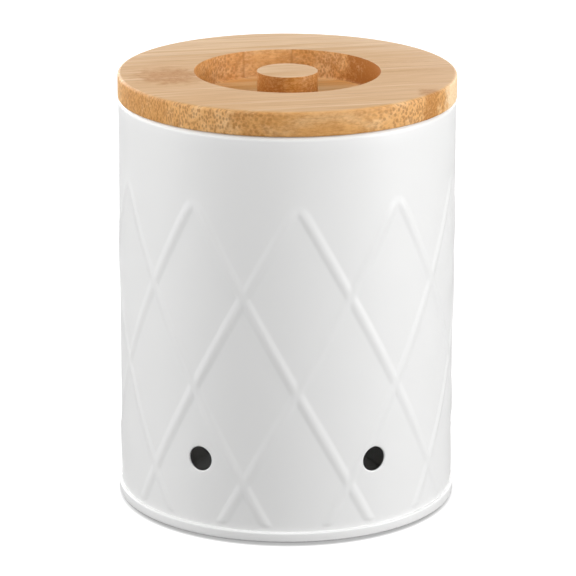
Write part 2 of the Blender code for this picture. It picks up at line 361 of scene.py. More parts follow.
# Canister wall: embossed sheet, curled mouth, air holes, foot flange
wall = {
    "radius": 84.2 * mm,
    "sheet": 0.5 * mm,
    "columns": 10,
    "frontAngle": math.radians(3.6),
    "latticeTop": 173.2 * mm,
    "latticeBottom": 6.6 * mm,
    "rowPitch": 48.2 * mm,
    "beadHalfWidth": 3.7 * mm,
    "beadHeight": 0.5 * mm,
    "tipFade": 8.0 * mm,
    "footFade": 2.6 * mm,
    "seamFade": 4.5 * mm,
    "seamPlain": 6.0 * mm,       # half of the strip without beads beside the side seam
    "seamGroove": 0.22 * mm,
    "seamGrooveWidth": 0.5 * mm,
    "cuts": (0, 0.5, 1.0, 1.5, 2.0, 2.5, 3.0, 3.5, 4.2, 6.5, 9.5, 13.0, 17.0, 20.6),  # mm from a crest
    "fadeCuts": (0.25, 0.5, 0.75, 1.0),
    "holes": 6,
    "holeRowAngle": math.radians(0.4),
    "holePitchAngle": math.radians(61.1),
    "holeHeight": 39.5 * mm,
    "holeRadius": 6.75 * mm,
    "holeSegments": 64,
    "lip": 0.12 * mm,            # how far a hole's edge is rolled in
    "lipSteps": 5,
    "lipDepth": 0.1 * mm,        # straight part behind the roll
    "top": 206.15 * mm,
    "plainRing": 6.0 * mm,       # from lattice and curl to the next ring of edges
    "curlRadius": 2.0 * mm,
    "curlTurn": math.radians(270),
    "curlSteps": 18,
    "flange": ((0.0, 2.6), (0.0, 1.3), (0.7, 1.3), (0.7, 4.6)),  # mm out from the wall, and height
}
halfColumn = math.pi * wall["radius"] / wall["columns"]
halfSheet = math.pi * wall["radius"]
crestRun = math.hypot(halfColumn, wall["rowPitch"])
crestSpacing = 2 * halfColumn * wall["rowPitch"] / crestRun


def wallLift(along, height):
    # how far the flat sheet is raised at a place: rounded beads in both directions
    down = height - wall["latticeTop"]
    if down > -weld:
        return 0.0
    level = 1.0
    for lean in (-1, 1):
        across = (along * wall["rowPitch"] + lean * down * halfColumn) / crestRun
        off = abs(math.remainder(across, crestSpacing))
        if off < wall["beadHalfWidth"]:
            level *= 0.5 - 0.5 * math.cos(math.pi * off / wall["beadHalfWidth"])
    toSeam = (halfSheet - abs(along) - wall["seamPlain"]) / wall["seamFade"]
    toFoot = (height - wall["latticeBottom"]) / wall["footFade"]
    fade = max(0.0, min(1.0, -down / wall["tipFade"], toFoot, toSeam))
    return (1 - level) * wall["beadHeight"] * fade * fade * (3 - 2 * fade)


def makeLatticeSheet():
    # one cell of the lattice, cut along its beads in both directions, then repeated
    selectNone()
    bpy.ops.mesh.primitive_plane_add(size=1, rotation=(math.pi / 2, 0, 0))
    piece = nameNew("canisterWall")
    bpy.ops.object.transform_apply(location=False, rotation=True, scale=False)
    bpy.ops.object.mode_set(mode="EDIT")
    growSelected(2 * halfColumn, 1, 2 * wall["rowPitch"])
    moveSelected(x=halfColumn - halfSheet, z=wall["latticeTop"] - wall["rowPitch"])
    start = Vector((-halfSheet, 0, wall["latticeTop"]))
    for lean in (-1, 1):
        normal = Vector((wall["rowPitch"] / crestRun, 0, lean * halfColumn / crestRun))
        for crest in range(-2, 4):    # the crests that reach the cell
            for cut in wall["cuts"]:
                for side in (-1, 1) if cut else (1,):
                    cutAcross(start + normal * (crest * crestSpacing + side * cut * mm), normal)
    bpy.ops.object.mode_set(mode="OBJECT")
    repeat = {"use_relative_offset": False, "use_constant_offset": True,
              "use_merge_vertices": True, "merge_threshold": weld}
    applyModifier(piece, "ARRAY", "columns", count=wall["columns"],
                  constant_offset_displace=(2 * halfColumn, 0, 0), **repeat)
    applyModifier(piece, "ARRAY", "rows", count=2,
                  constant_offset_displace=(0, 0, -2 * wall["rowPitch"]), **repeat)

    # foot edge, fades and the side seam's groove
    bpy.ops.object.mode_set(mode="EDIT")
    cutAcross((0, 0, wall["latticeBottom"]), (0, 0, -1), clear_outer=True)
    for share in wall["fadeCuts"]:
        cutAcross((0, 0, wall["latticeBottom"] + share * wall["footFade"]), (0, 0, 1))
        for side in (-1, 1):
            edge = halfSheet - wall["seamPlain"] - share * wall["seamFade"]
            cutAcross((side * edge, 0, 0), (1, 0, 0))
    for inset in (wall["seamPlain"], wall["seamGrooveWidth"], wall["seamGrooveWidth"] / 2):
        for side in (-1, 1):
            cutAcross((side * (halfSheet - inset), 0, 0), (1, 0, 0))
    mergeDoubles()
    return piece


def punchHoles(piece):
    # a tube marks each air hole on the flat sheet, the sheet inside goes, and the edge is rolled in
    outer = wall["holeRadius"] + wall["lip"]
    places = []
    bpy.ops.mesh.select_all(action="DESELECT")
    for index in range(wall["holes"]):
        angle = (wall["holeRowAngle"] + wall["holePitchAngle"] * (index - (wall["holes"] - 1) / 2)
                 - wall["frontAngle"])
        places.append(angle * wall["radius"])
        bpy.ops.mesh.primitive_cylinder_add(vertices=wall["holeSegments"], radius=outer, depth=4 * mm,
                                            end_fill_type="NOTHING", rotation=(math.pi / 2, 0, 0),
                                            location=(places[-1], 0, wall["holeHeight"]))
    pick(piece, "VERT", lambda vert: abs(vert.co.y) > mm)
    bpy.ops.mesh.intersect(mode="SELECT_UNSELECT", separate_mode="NONE", solver="EXACT")
    pick(piece, "VERT", lambda vert: abs(vert.co.y) > mm)
    bpy.ops.mesh.delete(type="VERT")

    def fromHole(co):
        return min(math.hypot(co.x - place, co.z - wall["holeHeight"]) for place in places)

    pick(piece, "FACE", lambda face: fromHole(face.center) < outer * 0.999 and all(
        fromHole(piece.data.vertices[index].co) < outer + weld for index in face.vertices))
    bpy.ops.mesh.delete(type="FACE")
    mergeDoubles()
    for place in places:
        centre = Vector((place, 0, wall["holeHeight"]))
        pick(piece, "EDGE", borderTest(piece, lambda co: (co - centre).xz.length < outer + nearLine))
        old, oldDeep = outer, 0.0
        for step in range(1, wall["lipSteps"] + 1):
            swing = math.pi / 2 * step / wall["lipSteps"]
            new = outer - wall["lip"] * math.sin(swing)
            deep = wall["lip"] * (1 - math.cos(swing))
            bpy.ops.mesh.extrude_region_move(TRANSFORM_OT_translate={"value": (0, deep - oldDeep, 0)})
            growSelected(new / old, 1, new / old, centre)
            old, oldDeep = new, deep
        bpy.ops.mesh.extrude_region_move(TRANSFORM_OT_translate={"value": (0, wall["lipDepth"], 0)})
    bpy.ops.object.mode_set(mode="OBJECT")


def makeWall():
    piece = makeLatticeSheet()
    punchHoles(piece)

    # raise the beads and roll the sheet up
    for vert in piece.data.vertices:
        along, deep, height = vert.co
        toSeam = halfSheet - abs(along)
        groove = max(0.0, 1 - toSeam / wall["seamGrooveWidth"]) * wall["seamGroove"]
        radius = wall["radius"] + wallLift(along, height) - deep - groove
        angle = along / wall["radius"] + wall["frontAngle"]
        vert.co = (radius * math.sin(angle), -radius * math.cos(angle), height)
    bpy.ops.object.mode_set(mode="EDIT")
    mergeDoubles()

    # plain wall above the lattice, and the curl of the mouth
    plainTop = wall["top"] - wall["curlRadius"]
    rings = [(wall["radius"], wall["latticeTop"] + wall["plainRing"]),
             (wall["radius"], plainTop - wall["plainRing"]), (wall["radius"], plainTop)]
    curlMiddle = wall["radius"] - wall["curlRadius"]
    for step in range(1, wall["curlSteps"] + 1):
        swing = wall["curlTurn"] * step / wall["curlSteps"]
        rings.append((curlMiddle + wall["curlRadius"] * math.cos(swing),
                      plainTop + wall["curlRadius"] * math.sin(swing)))
    pick(piece, "EDGE", borderTest(piece, lambda co: co.z > wall["latticeTop"] - nearLine))
    extrudeRings((wall["radius"], wall["latticeTop"]), rings)

    # foot flange, which the base is folded round
    pick(piece, "EDGE", borderTest(piece, lambda co: co.z < wall["latticeBottom"] + nearLine))
    extrudeRings((wall["radius"], wall["latticeBottom"]),
                 [(wall["radius"] + out * mm, z * mm) for out, z in wall["flange"]])
    faceOutwards()
    bpy.ops.object.mode_set(mode="OBJECT")
    flipIfInwards(piece, min(piece.data.polygons, key=lambda face: face.center.y), 1)
    applyModifier(piece, "SOLIDIFY", "sheet", thickness=wall["sheet"], offset=-1, use_even_offset=True)
    smoothBy(piece, 40)
    return piece


canisterWall = makeWall()
finishPiece(canisterWall, "canister", whiteCoating, "body_shell")
print("wall", len(canisterWall.data.polygons), "faces")


# Side seam inside the wall: the folded layers, flattened
seamStrip = {
    "width": 5.0 * mm,
    "thickness": 1.0 * mm,
    "sunk": 0.35 * mm,           # how deep it stands in the wall
    "low": 5.7 * mm,
    "high": 202.1 * mm,
    "round": 0.3 * mm,
    "roundSteps": 4,
}


def makeSeamStrip():
    selectNone()
    bpy.ops.mesh.primitive_cube_add(size=1)
    piece = nameNew("sideSeamStrip")
    bpy.ops.object.mode_set(mode="EDIT")
    growSelected(seamStrip["width"], seamStrip["thickness"], seamStrip["high"] - seamStrip["low"])
    inner = wall["radius"] - wall["sheet"] - seamStrip["sunk"]
    moveSelected(y=-inner, z=(seamStrip["high"] + seamStrip["low"]) / 2)
    pick(piece, "EDGE", lambda edge: all(
        piece.data.vertices[index].co.y > -inner for index in edge.vertices))
    bpy.ops.mesh.bevel(offset=seamStrip["round"], segments=seamStrip["roundSteps"], profile=0.5)
    bpy.ops.object.mode_set(mode="OBJECT")
    piece.data.transform(Matrix.Rotation(math.pi + wall["frontAngle"], 4, "Z"))
    smoothBy(piece, 40)
    return piece


finishPiece(makeSeamStrip(), "canister", whiteCoating, "body_shell")
print("side seam ready")


# Base: pressed panel, its edge folded up round the wall's flange
base = {
    "setUp": 3.2 * mm,
    "wallRadius": 82.9 * mm,
    "stepRadius": 52.0 * mm,
    "stepWidth": 3.0 * mm,
    "stepHeight": 0.9 * mm,
    "stepRound": 1.5 * mm,
    "ringRadius": 73.0 * mm,
    "ringHalf": 3.0 * mm,
    "ringHeight": 0.9 * mm,
    "ringFootRound": 1.2 * mm,
    "ringTopRound": 1.6 * mm,
    "rimRadius": 86.2 * mm,
    "rimHeight": 5.1 * mm,
    "rimRound": 0.95 * mm,
    "bend": 0.6 * mm,
    "hemEnd": 84.5 * mm,
    "sheet": 0.5 * mm,
    "segments": 240,
}


def makeBase():
    up = base["setUp"]
    ring, half = base["ringRadius"], base["ringHalf"]
    line = softCorners([
        (0, up + base["stepHeight"], 0),
        (base["stepRadius"] - base["stepWidth"], up + base["stepHeight"], base["stepRound"]),
        (base["stepRadius"], up, base["stepRound"]),
        (ring - half, up, base["ringFootRound"]),
        (ring, up + base["ringHeight"], base["ringTopRound"]),
        (ring + half, up, base["ringFootRound"]),
        (base["wallRadius"], up, base["bend"]),
        (base["wallRadius"], 0, base["bend"]),
        (base["rimRadius"], 0, base["rimRound"]),
        (base["rimRadius"], base["rimHeight"], base["rimRound"]),
        (base["hemEnd"], base["rimHeight"], 0),
    ], steps=6)
    piece = spinLine("foldedBase", line, base["segments"], closed=False)
    flipIfInwards(piece, max(piece.data.polygons, key=lambda face: face.center.x), 0)
    applyModifier(piece, "SOLIDIFY", "sheet", thickness=base["sheet"], offset=-1, use_even_offset=True)
    smoothBy(piece, 35)
    return piece


finishPiece(makeBase(), "canister", whiteCoating, "base_panel")
print("base ready")


# Bamboo, laid in strips along the grain
bamboo = {
    "grainTurn": math.radians(-13),          # the grain runs left to right, a little back on the right
    "stripWidth": 49.5 * mm,
    "stripShift": 4.5 * mm,
    "stripSeed": 3.7,                        # picks the strips' tones
    "jointWidth": 0.35 * mm,
    "streakCells": (7, 170, 120),            # noise cells to a metre: along the grain, across it, upwards
    "fibreCells": (35, 1500, 900),
    "bundleCells": (40, 1300, 500),
    "mottleCells": (450, 950, 950),
    "raggedScale": 220.0,
    "pale": (0.815, 0.56, 0.33, 1),
    "middle": (0.70, 0.43, 0.21, 1),
    "sidePale": (0.90, 0.58, 0.285, 1),      # upright faces show more of the brown layers
    "sideMiddle": (0.80, 0.43, 0.15, 1),
    "deep": (0.30, 0.12, 0.03, 1),
    # brown of the mottled patches, also used for painted shade on the recess walls and knob sides
    "brownPatchAndShade": (0.43, 0.165, 0.022, 1),
    # painted shade, for sides that face away from the key lamp
    "paintedShade": (0.35, 0.12, 0.012, 1),
    # painted sheen, for the side that the key lamp grazes
    "paintedSheen": (0.95, 0.72, 0.45, 1),
    "stripTone": 0.3,                        # what a strip's own tone adds to its streaks
    "toneRange": (0.48, 0.81),
    "fibreTone": 0.34,
    "dotTone": (0.50, 0.08),                 # what end grain adds, and what every face has
    "jointTone": 0.5,
    "recessShadeBelow": 207 * mm,                   # painted shade: below this height the recess floor takes the browner upright colour
    "roughness": (0.48, 0.62),
    "specular": 0.35,
    "reliefStrength": 0.35,
    "reliefDepth": 0.06 * mm,
}


def makeStripGroup():
    # gives each strip its own tone and its own run of grain
    tree, given, result = newGroup(
        "bambooStrips",
        [("Vector", "NodeSocketVector", None), ("Strip Width", "NodeSocketFloat", 0.02),
         ("Strip Shift", "NodeSocketFloat", 0.0)],
        ["Vector", "Tone", "Joint"])
    parts = addNode(tree, "ShaderNodeSeparateXYZ")
    feed(tree, given["Vector"], parts.inputs[0])
    across = doMath(tree, "DIVIDE", doMath(tree, "ADD", parts.outputs["Y"], given["Strip Shift"]),
                    given["Strip Width"])
    number = doMath(tree, "FLOOR", across)
    chance = addNode(tree, "ShaderNodeTexWhiteNoise", noise_dimensions="1D")
    feed(tree, doMath(tree, "ADD", number, bamboo["stripSeed"]), chance.inputs["W"])
    feed(tree, chance.outputs["Value"], result["Tone"])
    slide = addNode(tree, "ShaderNodeVectorMath", operation="ADD")
    feed(tree, given["Vector"], slide.inputs[0])
    feed(tree, chance.outputs["Color"], slide.inputs[1])
    feed(tree, slide.outputs[0], result["Vector"])
    inStrip = doMath(tree, "SUBTRACT", across, number)
    toEdge = doMath(tree, "MINIMUM", inStrip, doMath(tree, "SUBTRACT", 1.0, inStrip))
    gap = doMath(tree, "MULTIPLY", toEdge, given["Strip Width"])
    feed(tree, mapValue(tree, gap, 0.0, bamboo["jointWidth"], 1.0, 0.0), result["Joint"])
    return tree


def makeGrainGroup():
    # long streaks, fine fibres and the dark bundles that show as dots on end grain
    tree, given, result = newGroup(
        "bambooGrain",
        [("Vector", "NodeSocketVector", None), ("Streak Scale", "NodeSocketFloat", 1.0)],
        ["Streak", "Fibre", "Bundle"])
    scaled = addNode(tree, "ShaderNodeVectorMath", operation="SCALE")
    feed(tree, given["Vector"], scaled.inputs[0])
    feed(tree, given["Streak Scale"], scaled.inputs["Scale"])
    place = scaled.outputs[0]
    streak = noise(tree, stretched(tree, place, bamboo["streakCells"]), 1.0, detail=4.0,
                   roughness=0.55, distortion=0.3)
    feed(tree, streak, result["Streak"])
    fibre = noise(tree, stretched(tree, place, bamboo["fibreCells"]), 1.0, detail=3.0, roughness=0.6)
    feed(tree, fibre, result["Fibre"])
    cells = addNode(tree, "ShaderNodeTexVoronoi", feature="F1")
    feed(tree, stretched(tree, place, bamboo["bundleCells"]), cells.inputs["Vector"])
    cells.inputs["Scale"].default_value = 1.0
    feed(tree, mapValue(tree, cells.outputs["Distance"], 0.28, 0.62, 1.0, 0.0), result["Bundle"])
    return tree


def makePatchAndPaintedLightGroup():
    # ragged mottled mask: brown patches where the cane had a joint, and the painted shade and painted sheen
    # marks
    tree, given, result = newGroup(
        "jointPatchAndPaintedLight",
        [("Vector", "NodeSocketVector", None), ("Centre", "NodeSocketVector", None),
         ("Half Length", "NodeSocketFloat", 0.012), ("Half Width", "NodeSocketFloat", 0.015)],
        ["Mask"])
    away = addNode(tree, "ShaderNodeVectorMath", operation="SUBTRACT")
    feed(tree, given["Vector"], away.inputs[0])
    feed(tree, given["Centre"], away.inputs[1])
    parts = addNode(tree, "ShaderNodeSeparateXYZ")
    feed(tree, away.outputs[0], parts.inputs[0])
    squares = []
    for axis, half in (("X", "Half Length"), ("Y", "Half Width")):
        share = doMath(tree, "DIVIDE", parts.outputs[axis], given[half])
        squares.append(doMath(tree, "MULTIPLY", share, share))
    distance = doMath(tree, "SQRT", doMath(tree, "ADD", *squares))
    ragged = noise(tree, given["Vector"], bamboo["raggedScale"], detail=3.0)
    reach = doMath(tree, "ADD", distance, doMath(tree, "MULTIPLY_ADD", ragged, 1.1, -0.55))
    feed(tree, mapValue(tree, reach, 0.45, 1.05, 1.0, 0.0), result["Mask"])
    return tree


def makeBambooMaterial(name, groups, marks, stripShift, shift=(0, 0, 0)):
    material, tree, shader, place = newMaterial(name)
    turned = addNode(tree, "ShaderNodeMapping")
    feed(tree, place, turned.inputs["Vector"])
    turned.inputs["Rotation"].default_value = (0, 0, bamboo["grainTurn"])
    turned.inputs["Location"].default_value = shift
    along = turned.outputs[0]
    strips = useGroup(tree, groups["strips"], {"Vector": along, "Strip Width": bamboo["stripWidth"],
                                               "Strip Shift": stripShift})
    grain = useGroup(tree, groups["grain"], {"Vector": strips["Vector"], "Streak Scale": 1.0})

    # which faces show end grain or stand upright, and the recess floor that gets painted shade
    facing = addNode(tree, "ShaderNodeVectorRotate", rotation_type="Z_AXIS")
    feed(tree, tree.nodes.new("ShaderNodeTexCoord").outputs["Normal"], facing.inputs["Vector"])
    facing.inputs["Angle"].default_value = bamboo["grainTurn"]
    parts = addNode(tree, "ShaderNodeSeparateXYZ")
    feed(tree, facing.outputs[0], parts.inputs[0])
    endGrain = mapValue(tree, doMath(tree, "ABSOLUTE", parts.outputs["X"]), 0.12, 0.45)
    upright = mapValue(tree, doMath(tree, "ABSOLUTE", parts.outputs["Z"]), 0.5, 0.97, 1.0, 0.0)
    heights = addNode(tree, "ShaderNodeSeparateXYZ")
    feed(tree, place, heights.inputs[0])
    sunk = mapValue(tree, heights.outputs["Z"], bamboo["recessShadeBelow"] - 1 * mm, bamboo["recessShadeBelow"], 1.0, 0.0)

    # colours of the layers, then fibres, dots and glued joints over them
    streaks = doMath(tree, "MULTIPLY_ADD", strips["Tone"], bamboo["stripTone"], grain["Streak"])
    tone = mapValue(tree, streaks, *bamboo["toneRange"])
    flat = mixColour(tree, tone, bamboo["pale"], bamboo["middle"])
    side = mixColour(tree, tone, bamboo["sidePale"], bamboo["sideMiddle"])
    # upright faces take the side colour, and the recess floor takes it as painted shade
    colour = mixColour(tree, doMath(tree, "MAXIMUM", upright, sunk), flat, side)
    fibres = mapValue(tree, grain["Fibre"], 0.42, 0.75, 0.0, bamboo["fibreTone"])
    dots = doMath(tree, "MULTIPLY_ADD", doMath(tree, "MULTIPLY", endGrain, upright), *bamboo["dotTone"])
    for factor in (fibres, doMath(tree, "MULTIPLY", grain["Bundle"], dots),
                   doMath(tree, "MULTIPLY", strips["Joint"], bamboo["jointTone"])):
        colour = mixColour(tree, factor, colour, bamboo["deep"])

    # mottled patches, and the marks of painted shade and painted sheen
    mottle = noise(tree, stretched(tree, along, bamboo["mottleCells"]), 1.0, detail=3.0, roughness=0.7)
    for centre, halfLength, halfWidth, strength, tint, sideOnly in marks:
        mark = useGroup(tree, groups["mark"], {"Vector": along, "Centre": centre,
                                               "Half Length": halfLength, "Half Width": halfWidth})
        spots = mapValue(tree, mottle, 0.35, 0.7, 0.45 * strength, strength)
        if sideOnly:
            spots = doMath(tree, "MULTIPLY", spots, upright)
        colour = mixColour(tree, doMath(tree, "MULTIPLY", mark["Mask"], spots), colour, bamboo[tint])
    feed(tree, colour, shader.inputs["Base Color"])
    feed(tree, mapValue(tree, grain["Fibre"], 0.3, 0.7, *bamboo["roughness"], smooth=False),
         shader.inputs["Roughness"])
    shader.inputs["Specular IOR Level"].default_value = bamboo["specular"]
    height = doMath(tree, "SUBTRACT", doMath(tree, "MULTIPLY", grain["Fibre"], 0.5),
                    doMath(tree, "ADD", doMath(tree, "MULTIPLY", grain["Bundle"], 0.3),
                           doMath(tree, "MULTIPLY", strips["Joint"], 0.8)))
    addBump(tree, shader, height, bamboo["reliefStrength"], bamboo["reliefDepth"])
    return material


bambooGroups = {"strips": makeStripGroup(), "grain": makeGrainGroup(), "mark": makePatchAndPaintedLightGroup()}
# each mark: centre in the grain's direction, half length, half width, strength, colour, upright faces only;
# the painted shade and painted sheen marks are noted at each
boardMarks = [
    ((-0.060, 0.001, 0.2194), 0.020, 0.021, 0.90, "brownPatchAndShade", False),
    ((0.058, -0.062, 0.2130), 0.007, 0.012, 0.90, "brownPatchAndShade", False),
    ((0.060, 0.0055, 0.2194), 0.045, 0.003, 0.30, "brownPatchAndShade", False),
    ((0.064, -0.0135, 0.2194), 0.040, 0.004, 0.30, "brownPatchAndShade", False),
    ((-0.020, -0.085, 0.2130), 0.060, 0.018, 0.55, "brownPatchAndShade", True),
    ((-0.078, -0.034, 0.2130), 0.014, 0.045, 0.50, "brownPatchAndShade", True),
    # painted shade: mottled brown over the recess walls, partly their own colour and partly the recess's
    # shade
    ((0.0, 0.0, 0.2130), 0.084, 0.084, 0.70, "brownPatchAndShade", True),
    # painted shade on the recess's right wall, which faces away from the key lamp
    ((0.050, -0.004, 0.2130), 0.031, 0.048, 1.80, "paintedShade", True),
    # painted sheen: the board's right side, paler where the key lamp grazes it
    ((0.079, -0.037, 0.2130), 0.015, 0.029, 1.40, "paintedSheen", True),
]
boardBamboo = makeBambooMaterial("boardBamboo", bambooGroups, boardMarks, bamboo["stripShift"])
knobGrain = (0.31, 0.0, 0.0)    # the knob's grain is taken from another place than the board's
# painted shade: the knob's sides are darkened all round, as the recess walls shade them, and more on the left
knobPaintedShade = [
    ((0.31, 0.0, 0.2130), 0.060, 0.060, 1.1, "brownPatchAndShade", True),
    # painted shade on the knob's left side, which faces away from the key lamp
    ((0.2992, -0.0108, 0.2130), 0.010, 0.014, 1.1, "paintedShade", True),
]
knobBamboo = makeBambooMaterial("knobBamboo", bambooGroups, knobPaintedShade, bamboo["stripWidth"] / 2, knobGrain)
print("bamboo ready")


# Lid board with its finger recess and the plug below
seat = 206.7 * mm            # height of the board's underside
board = {
    "radius": 85.0 * mm,
    "thickness": 12.7 * mm,
    "topRound": 1.8 * mm,
    "underRound": 1.0 * mm,
    "recessRadius": 46.75 * mm,
    "recessDepth": 14.4 * mm,
    "recessEdge": 0.15 * mm,
    "recessFloorRound": 1.5 * mm,
    "plugRadius": 79.0 * mm,
    "plugDepth": 9.0 * mm,
    "grooveRadius": 76.7 * mm,
    "grooveTop": -0.6 * mm,
    "grooveBottom": -6.4 * mm,
    "plugRounds": (0.3 * mm, 0.2 * mm, 1.0 * mm),    # under the board, below the groove, at the end
    "screwHole": 2.3 * mm,
    "screwHeadHole": 4.3 * mm,
    "screwSink": 2.0 * mm,
    "screwEdge": 0.2 * mm,
    "segments": 240,
}


def makeBoard():
    top = seat + board["thickness"]
    recessFloor = top - board["recessDepth"]
    plugEnd = seat - board["plugDepth"]
    plugRoot, plugMiddle, plugRim = board["plugRounds"]
    line = softCorners([
        (board["screwHole"], recessFloor, 0),
        (board["recessRadius"], recessFloor, board["recessFloorRound"]),
        (board["recessRadius"], top, board["recessEdge"]),
        (board["radius"], top, board["topRound"]),
        (board["radius"], seat, board["underRound"]),
        (board["plugRadius"], seat, plugRoot),
        (board["plugRadius"], seat + board["grooveTop"], 0),
        (board["grooveRadius"], seat + board["grooveTop"], 0),
        (board["grooveRadius"], seat + board["grooveBottom"], 0),
        (board["plugRadius"], seat + board["grooveBottom"], plugMiddle),
        (board["plugRadius"], plugEnd, plugRim),
        (board["screwHeadHole"], plugEnd, board["screwEdge"]),
        (board["screwHole"], plugEnd + board["screwSink"], 0),
    ], steps=6)
    piece = spinLine("lidBoard", line, board["segments"])
    smoothBy(piece, 35)
    return piece


finishPiece(makeBoard(), "lid", boardBamboo, "lid_board")
print("lid board ready")


# Knob, flush with the board
knob = {
    "radius": 15.25 * mm,
    "foot": 205.3 * mm,
    "top": 219.4 * mm,
    "edge": 0.2 * mm,
    "footRound": 0.3 * mm,
    "pilotRadius": 2.3 * mm,
    "pilotTop": 216.3 * mm,
    "pilotTip": 3.0 * mm,
    "segments": 128,
}


def makeKnob():
    line = softCorners([
        (0, knob["pilotTop"], 0),
        (knob["pilotRadius"], knob["pilotTop"] - knob["pilotTip"], 0),
        (knob["pilotRadius"], knob["foot"], 0),
        (knob["radius"], knob["foot"], knob["footRound"]),
        (knob["radius"], knob["top"], knob["edge"]),
        (0, knob["top"], 0),
    ], steps=5)
    piece = spinLine("fingerKnob", line, knob["segments"], closed=False)
    smoothBy(piece, 35)
    return piece


finishPiece(makeKnob(), "lid", knobBamboo, "knob")
print("knob ready")


# Wood screw from below, with a cross recess and a thread
screw = {
    "headRadius": 4.0 * mm,
    "shankRadius": 2.0 * mm,
    "coreRadius": 1.45 * mm,
    "low": 198.0 * mm,
    "headHeight": 2.0 * mm,
    "headRound": 0.12 * mm,
    "neckRound": 0.3 * mm,
    "tip": 216.0 * mm,
    "tipLength": 3.0 * mm,
    "threadPitch": 1.6 * mm,
    "threadStart": 1.2 * mm,
    "threadSink": 0.15 * mm,
    "threadFoot": (0.5, 0.35),      # how far the ridge reaches down and up, in pitches
    "threadShort": 2.4 * mm,        # how much of the straight core has no thread
    "threadSteps": 24,
    "crossWidth": 0.9 * mm,
    "crossReach": 2.3 * mm,
    "crossDepth": 1.7 * mm,
    "crossTaper": (0.45, 0.7),
    "segments": 48,
    "zincDark": (0.50, 0.50, 0.52, 1),
    "zincPale": (0.68, 0.68, 0.69, 1),
    "brushScale": (900, 900, 3000),
    "roughness": (0.25, 0.42),
}


def makeZinc():
    material, tree, shader, place = newMaterial("zincSteel")
    brushed = noise(tree, stretched(tree, place, screw["brushScale"]), 1.0, detail=3.0)
    feed(tree, mixColour(tree, brushed, screw["zincDark"], screw["zincPale"]), shader.inputs["Base Color"])
    shader.inputs["Metallic"].default_value = 1.0
    feed(tree, mapValue(tree, brushed, 0.3, 0.7, *screw["roughness"], smooth=False),
         shader.inputs["Roughness"])
    addBump(tree, shader, brushed, 0.2, 0.01 * mm)
    return material


def makeScrew():
    neck = screw["low"] + screw["headHeight"]
    line = softCorners([
        (0, screw["low"], 0),
        (screw["headRadius"], screw["low"], screw["headRound"]),
        (screw["coreRadius"], neck, screw["neckRound"]),
        (screw["coreRadius"], screw["tip"] - screw["tipLength"], 0),
        (0, screw["tip"], 0),
    ], steps=4)
    piece = spinLine("knobScrew", line, screw["segments"], closed=False)

    # cross recess: one tapered bar, copied at a right angle, cut from the head
    selectNone()
    bpy.ops.mesh.primitive_cube_add(size=1)
    cross = nameNew("crossPunch")
    bpy.ops.object.mode_set(mode="EDIT")
    growSelected(2 * screw["crossReach"], screw["crossWidth"], 2 * screw["crossDepth"])
    moveSelected(z=screw["low"])
    pick(cross, "FACE", lambda face: face.normal.z > 0.5)
    growSelected(*screw["crossTaper"], 1, (0, 0, screw["low"] + screw["crossDepth"]))
    bpy.ops.object.mode_set(mode="OBJECT")
    second = cross.copy()
    second.data = cross.data.copy()
    second.data.transform(Matrix.Rotation(math.pi / 2, 4, "Z"))
    bpy.context.collection.objects.link(second)
    for bar in (cross, second):
        applyModifier(piece, "BOOLEAN", "cross", operation="DIFFERENCE", object=bar, solver="EXACT")
        bpy.data.objects.remove(bar, do_unlink=True)

    # thread: a ridge wound up the core
    root, start = screw["coreRadius"] - screw["threadSink"], neck + screw["threadStart"]
    below, above = screw["threadFoot"]
    corners = [(root, start - below * screw["threadPitch"]), (screw["shankRadius"], start),
               (root, start + above * screw["threadPitch"])]
    ridge = drawLine("screwThread", corners + corners[:1])
    mergeDoubles()
    bpy.ops.object.mode_set(mode="OBJECT")
    straight = screw["tip"] - screw["tipLength"] - neck
    turns = math.floor((straight - screw["threadShort"]) / screw["threadPitch"])
    steps = screw["threadSteps"] * turns
    applyModifier(ridge, "SCREW", "thread", angle=math.tau * turns, screw_offset=screw["threadPitch"] * turns,
                  steps=steps, render_steps=steps, axis="Z")
    bpy.ops.object.mode_set(mode="EDIT")
    bpy.ops.mesh.select_all(action="SELECT")
    bpy.ops.mesh.fill_holes(sides=4)
    mergeDoubles()
    faceOutwards()
    selectNone()
    ridge.select_set(True)
    piece.select_set(True)
    bpy.context.view_layer.objects.active = piece
    bpy.ops.object.join()
    smoothBy(piece, 35)
    return piece


finishPiece(makeScrew(), "lid", makeZinc(), "knob_screw")
print("screw ready")


# Silicone seal with two soft fins
seal = {
    "innerRadius": 77.0 * mm,
    "bodyRadius": 79.0 * mm,
    "finRadius": 79.9 * mm,
    "top": 205.8 * mm,
    "height": 5.2 * mm,
    "fins": 2,
    "finThickness": 1.2 * mm,
    "finRound": 0.12 * mm,
    "finFootRound": 0.1 * mm,
    "bodyRound": 0.3 * mm,
    "segments": 200,
    "colours": ((0.74, 0.74, 0.72, 1), (0.82, 0.82, 0.80, 1)),
    "roughness": (0.38, 0.52),
}


def makeSilicone():
    material, tree, shader, place = newMaterial("clearSilicone")
    cloud = noise(tree, place, 90.0, detail=3.0)
    feed(tree, mixColour(tree, cloud, *seal["colours"]), shader.inputs["Base Color"])
    feed(tree, mapValue(tree, cloud, 0.3, 0.7, *seal["roughness"], smooth=False), shader.inputs["Roughness"])
    shader.inputs["Subsurface Weight"].default_value = 0.25
    shader.inputs["Subsurface Radius"].default_value = (2 * mm, 2 * mm, 2 * mm)
    addBump(tree, shader, noise(tree, place, 1200.0), 0.2, 0.01 * mm)
    return material


